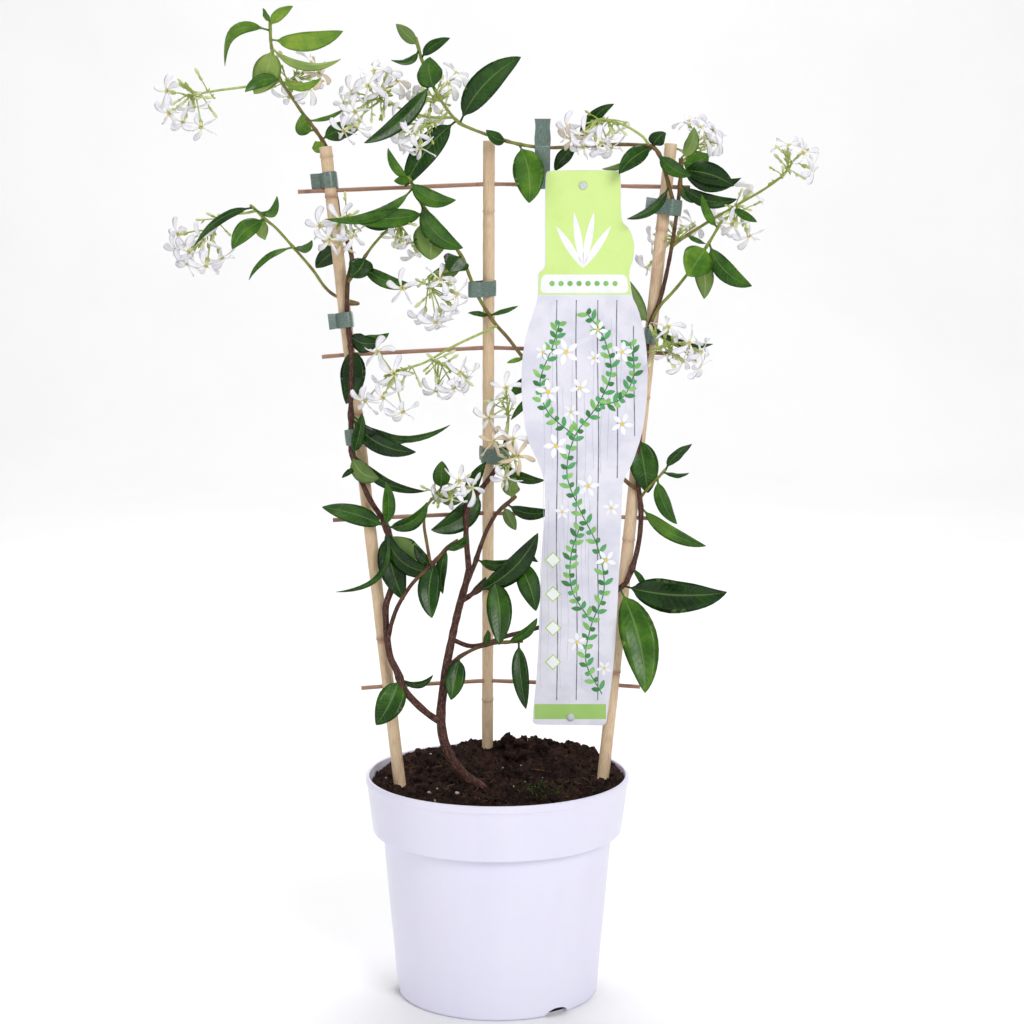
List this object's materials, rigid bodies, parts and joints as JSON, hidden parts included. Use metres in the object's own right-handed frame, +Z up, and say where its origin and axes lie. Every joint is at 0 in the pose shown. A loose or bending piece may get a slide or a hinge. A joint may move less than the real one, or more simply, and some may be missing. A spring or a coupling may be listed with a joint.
{
  "type": "potted star jasmine",
  "caption": "Star jasmine vine with white pinwheel flowers, tied with tape to an upright bamboo rack and rooted in soil in a round pale plastic pot, with a plant label in front.",
  "frame": {"origin": "centre of the pot's underside", "axes": "+Z is up along the pot's axis, -Y is the front, the side that the flowers and the label face, and +X is to the right seen from the front"},
  "size_m": [0.4657, 0.19, 0.7046],
  "materials": {
    "pot_plastic": "pale lavender moulded plastic, satin",
    "potting_soil": "moist peat with fibres and pale grit",
    "bamboo": "dry tan bamboo with darker nodes",
    "crossbar_bamboo": "thin stained bamboo rod",
    "tie_tape": "satin grey-green tying tape",
    "label_card": "printed plastic card with a plain leaf motif",
    "peg_plastic": "clear white plastic",
    "bark": "dark reddish brown woody stem",
    "green_stem": "smooth young stem",
    "leaf": "glossy leathery leaf",
    "petal": "soft white petal with a cream throat",
    "flower_green": "yellow-green calyx, stalk and bud"
  },
  "bodies": {
    "root": {"branch_centre_left": "leaf", "branch_left": "leaf", "branch_low_right": "leaf", "branch_side": "leaf", "branch_to_right": "leaf", "cane_left": "bamboo", "cane_middle": "bamboo", "cane_right": "bamboo", "crossbar_1": "crossbar_bamboo", "crossbar_2": "crossbar_bamboo", "crossbar_3": "crossbar_bamboo", "crossbar_4": "crossbar_bamboo", "flowers_behind_right": "petal", "flowers_cane_star": "petal", "flowers_centre": "petal", "flowers_centre_drop": "petal", "flowers_far_left": "petal", "flowers_far_right": "petal", "flowers_inner_left": "petal", "flowers_label_left": "petal", "flowers_left_cane": "petal", "flowers_low_centre": "petal", "flowers_low_left": "petal", "flowers_middle": "petal", "flowers_middle_left": "petal", "flowers_right": "petal", "flowers_right_middle": "petal", "flowers_top_bar": "petal", "flowers_top_left": "petal", "flowers_top_right": "petal", "flowers_upper_centre": "petal", "flowers_upper_right": "petal", "fork_left": "leaf", "fork_right": "leaf", "label": "label_card", "label_peg_low": "peg_plastic", "label_peg_top": "peg_plastic", "pot": "pot_plastic", "shoot_inner_left": "leaf", "shoot_right_flowers": "leaf", "shoot_right_low": "leaf", "shoot_right_upper": "leaf", "shoot_top_left": "leaf", "shoot_upper_left": "leaf", "shoot_upright": "leaf", "soil": "potting_soil", "stem_left": "leaf", "stem_middle": "leaf", "stem_right": "leaf", "stem_top": "leaf", "tie_left_middle": "tie_tape", "tie_left_top": "tie_tape", "tie_left_upper": "tie_tape", "tie_middle_lower": "tie_tape", "tie_middle_upper": "tie_tape", "tie_right_middle": "tie_tape", "tie_right_upper": "tie_tape", "tie_top_bar": "tie_tape", "trunk": "bark"}
  },
  "joints": []
}
